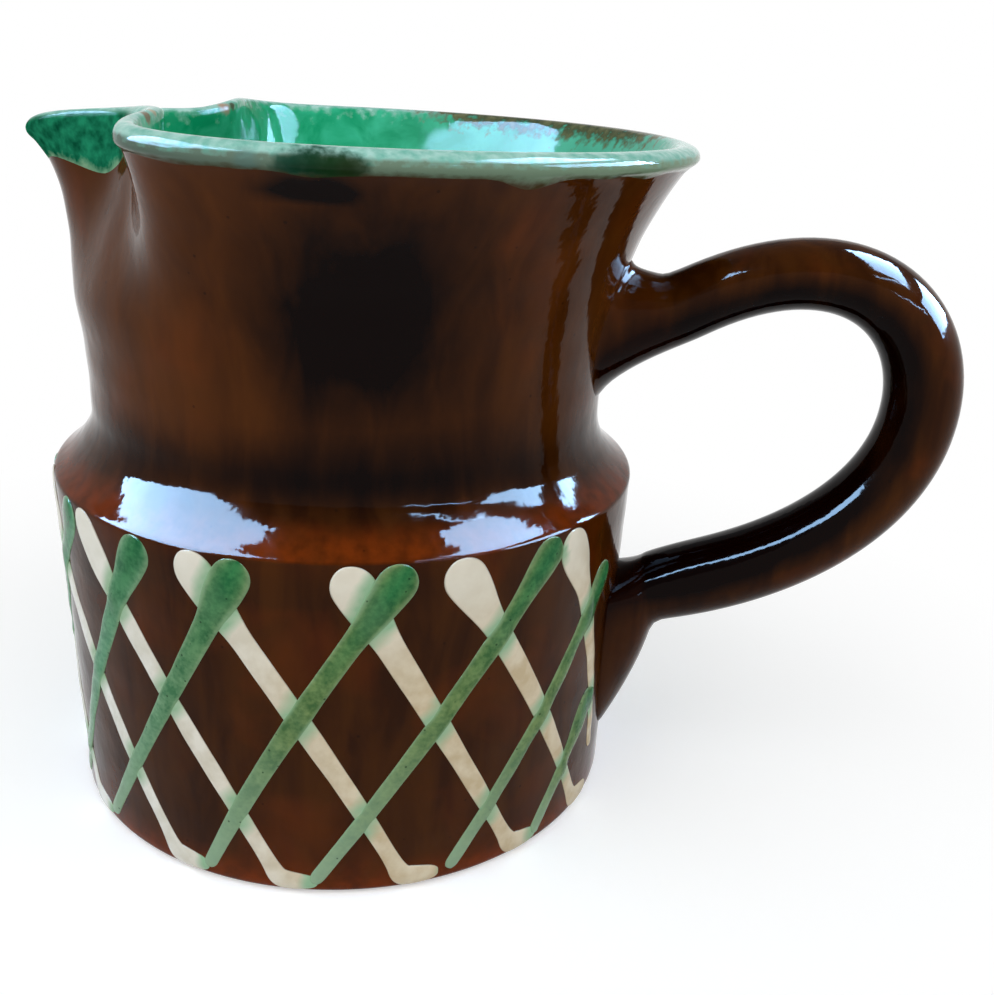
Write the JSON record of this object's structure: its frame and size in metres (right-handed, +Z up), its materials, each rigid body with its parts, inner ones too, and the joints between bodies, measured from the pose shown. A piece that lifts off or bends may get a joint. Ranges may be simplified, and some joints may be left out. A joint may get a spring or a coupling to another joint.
{
  "type": "pouring jug",
  "caption": "Squat glazed earthenware pouring jug with a pinched lip, a pulled loop handle, a green lining and a raised lattice of white and green slip trails.",
  "frame": {"origin": "middle of the flat foot, on the surface that the jug stands on", "axes": "+Z up along the axis of throwing, +X towards the middle of the handle; the pouring lip is on the -X side, turned 10 degrees towards -Y"},
  "size_m": [0.1482, 0.1084, 0.114],
  "materials": {
    "brown_glaze": "gloss",
    "green_glaze": "gloss",
    "white_slip": "gloss",
    "green_slip": "gloss"
  },
  "bodies": {
    "root": {"jug_body": "brown_glaze", "handle": "brown_glaze", "green_lining": "green_glaze", "white_trail_01": "white_slip", "white_trail_02": "white_slip", "white_trail_03": "white_slip", "white_trail_04": "white_slip", "white_trail_05": "white_slip", "white_trail_06": "white_slip", "white_trail_07": "white_slip", "white_trail_08": "white_slip", "white_trail_09": "white_slip", "white_trail_10": "white_slip", "white_trail_11": "white_slip", "white_trail_12": "white_slip", "white_trail_13": "white_slip", "white_trail_14": "white_slip", "green_trail_01": "green_slip", "green_trail_02": "green_slip", "green_trail_03": "green_slip", "green_trail_04": "green_slip", "green_trail_05": "green_slip", "green_trail_06": "green_slip", "green_trail_07": "green_slip", "green_trail_08": "green_slip", "green_trail_09": "green_slip", "green_trail_10": "green_slip", "green_trail_11": "green_slip", "green_trail_12": "green_slip", "green_trail_13": "green_slip", "green_trail_14": "green_slip", "green_trail_15": "green_slip"}
  },
  "joints": []
}
